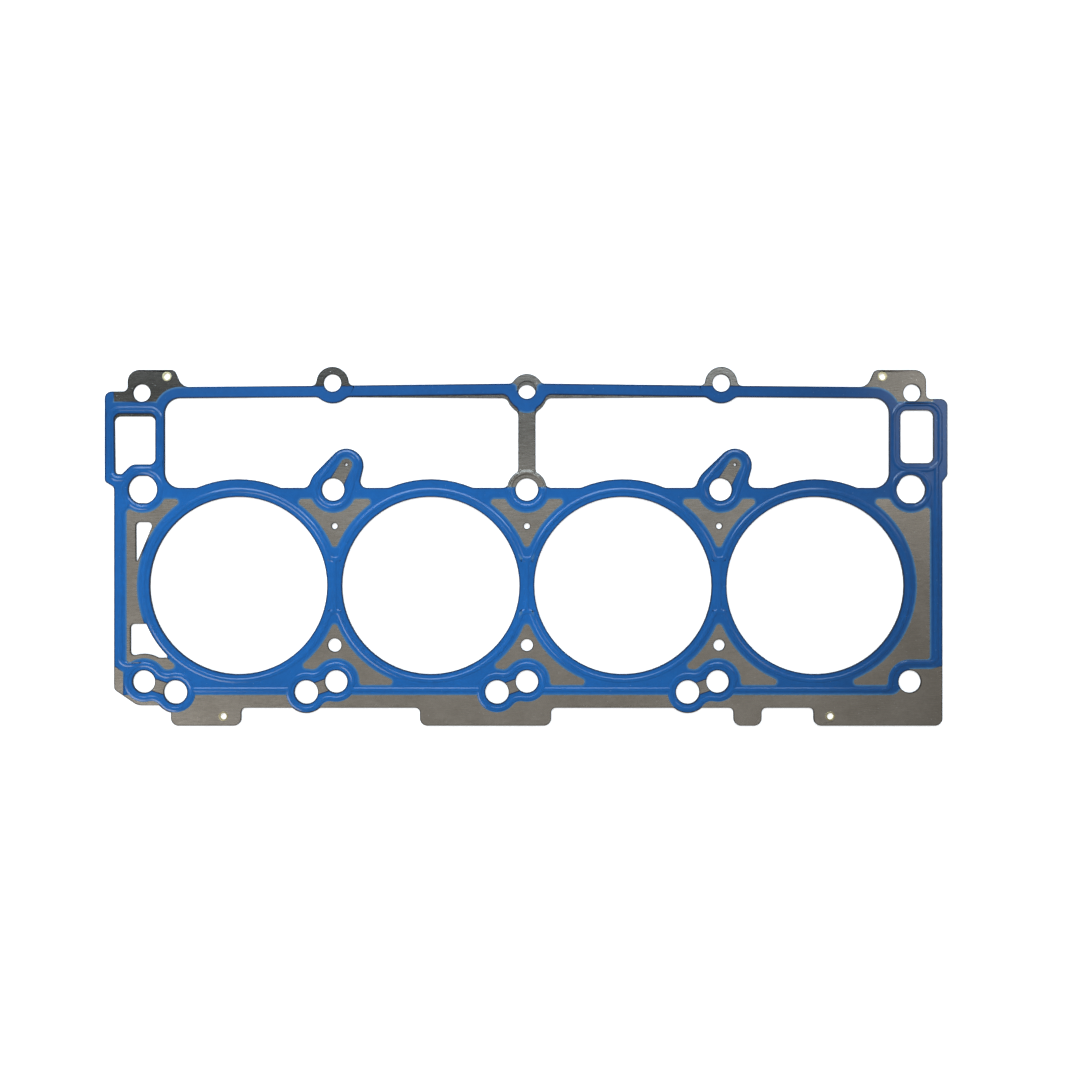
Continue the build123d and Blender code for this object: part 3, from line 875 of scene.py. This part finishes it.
def floor_material():
    """White that glows a little to the camera and in reflections, and still takes the shadow."""
    material = bpy.data.materials.new("white floor")
    material.use_nodes = True
    tree = material.node_tree
    shader = tree.nodes["Principled BSDF"]
    shader.inputs["Base Color"].default_value = FLOOR_GREY
    shader.inputs["Roughness"].default_value = 0.9
    shader.inputs["Specular IOR Level"].default_value = 0.1
    path = tree.nodes.new("ShaderNodeLightPath")
    seen = tree.nodes.new("ShaderNodeMath")
    seen.operation = "MAXIMUM"
    tree.links.new(path.outputs["Is Camera Ray"], seen.inputs[0])
    tree.links.new(path.outputs["Is Glossy Ray"], seen.inputs[1])
    glow = tree.nodes.new("ShaderNodeMath")
    glow.operation = "MULTIPLY"
    glow.inputs[1].default_value = FLOOR_GLOW
    tree.links.new(seen.outputs[0], glow.inputs[0])
    shader.inputs["Emission Color"].default_value = (1, 1, 1, 1)
    tree.links.new(glow.outputs[0], shader.inputs["Emission Strength"])
    return material


def pale_floor():
    """A wide floor on which the gasket lies."""
    mesh = bmesh.new()
    corners = [(-1, -1), (1, -1), (1, 1), (-1, 1)]
    spots = [(FLOOR_REACH * x, FLOOR_REACH * y, FLOOR_LEVEL) for x, y in corners]
    mesh.faces.new([mesh.verts.new(spot) for spot in spots])
    floor = new_object("floor", mesh)
    floor.data.materials.append(floor_material())
    return floor


def even_world(stage):
    """An even white room."""
    world = bpy.data.worlds.new("room")
    world.use_nodes = True
    background = world.node_tree.nodes["Background"]
    background.inputs["Color"].default_value = (1, 1, 1, 1)
    background.inputs["Strength"].default_value = stage.world_strength
    bpy.context.scene.world = world


# Operators


class GASKET_OT_top_layer(Operator):
    """Builds the embossed top layer with softer beads and rolled steel"""

    bl_idname = "gasket.top_layer"
    bl_label = "Top layer"

    def execute(self, context):
        scene = context.scene
        piece = fine_sheet("top_layer", "embossed_top_layer", scene.gasket_sheets)
        material = steel_material("top layer steel", scene.gasket_finish, 1.0)
        piece.data.materials.append(material)
        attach(piece, BODY)
        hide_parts("top_layer")
        return {"FINISHED"}


class GASKET_OT_sealing_coat(Operator):
    """Builds the blue sealing coat over the beads of the top layer"""

    bl_idname = "gasket.sealing_coat"
    bl_label = "Sealing coat"

    def execute(self, context):
        scene = context.scene
        piece = fine_sheet("sealing_coat", "blue_sealing_coat", scene.gasket_sheets)
        piece.data.materials.append(coat_material(scene.gasket_finish))
        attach(piece, BODY)
        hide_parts("sealing_coat")
        return {"FINISHED"}


class GASKET_OT_lower_layer(Operator):
    """Gives the flat lower layer its rolled steel, made darker as painted shade, with painted
    shade at cut edges
    """

    bl_idname = "gasket.lower_layer"
    bl_label = "Lower layer"

    def execute(self, context):
        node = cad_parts["lower_layer"]
        # Painted shade: the lower layer takes the same steel at 0.85 of its brightness, as the
        # layer lying under the top one.
        material = steel_material("lower layer steel", context.scene.gasket_finish, 0.85)
        node.data.materials.clear()
        node.data.materials.append(material)
        return {"FINISHED"}


class GASKET_OT_eyelets(Operator):
    """Builds the rolled eyelets that hold the layers together"""

    bl_idname = "gasket.eyelets"
    bl_label = "Eyelets"

    def execute(self, context):
        material = eyelet_material(context.scene.gasket_finish)
        for node in EYELETS:
            piece = rolled_eyelet(node, context.scene.gasket_sheets)
            piece.data.materials.append(material)
            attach(piece, BODY)
            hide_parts(node)
        return {"FINISHED"}


class GASKET_OT_stage(Operator):
    """Sets the camera, the lights and the white floor"""

    bl_idname = "gasket.stage"
    bl_label = "Stage"

    def execute(self, context):
        stage = context.scene.gasket_stage
        top_camera(stage)
        pale_floor()
        even_world(stage)
        area_light("key", stage.key_power)
        area_light("high strip", stage.strip_power, stage.strip_colour)
        area_light("low strip", stage.strip_power, stage.strip_colour)
        area_light("side panel", stage.side_power)
        context.scene.view_settings.view_transform = "Standard"
        return {"FINISHED"}


class GASKET_PT_looks(Panel):
    """Lists the pieces of the gasket and the stage"""

    bl_idname = "GASKET_PT_looks"
    bl_label = "Head gasket"
    bl_space_type = "VIEW_3D"
    bl_region_type = "UI"
    bl_category = "Gasket"

    def draw(self, context):
        scene = context.scene
        column = self.layout.column(align=True)
        for operator in OPERATORS:
            column.operator(operator.bl_idname)
        for group in (scene.gasket_sheets, scene.gasket_finish, scene.gasket_stage):
            box = self.layout.box()
            for name in group.bl_rna.properties.keys():
                if name not in ("rna_type", "name"):
                    box.prop(group, name)


OPERATORS = (
    GASKET_OT_lower_layer,
    GASKET_OT_top_layer,
    GASKET_OT_sealing_coat,
    GASKET_OT_eyelets,
    GASKET_OT_stage,
)
CLASSES = (GasketSheets, GasketFinish, GasketStage) + OPERATORS + (GASKET_PT_looks,)


def register():
    for item in CLASSES:
        bpy.utils.register_class(item)
    bpy.types.Scene.gasket_sheets = PointerProperty(type=GasketSheets)
    bpy.types.Scene.gasket_finish = PointerProperty(type=GasketFinish)
    bpy.types.Scene.gasket_stage = PointerProperty(type=GasketStage)


def unregister():
    del bpy.types.Scene.gasket_stage
    del bpy.types.Scene.gasket_finish
    del bpy.types.Scene.gasket_sheets
    for item in reversed(CLASSES):
        bpy.utils.unregister_class(item)


def main():
    register()
    bpy.ops.gasket.lower_layer()
    bpy.ops.gasket.top_layer()
    bpy.ops.gasket.sealing_coat()
    bpy.ops.gasket.eyelets()
    bpy.ops.gasket.stage()


if __name__ == "__main__":
    main()
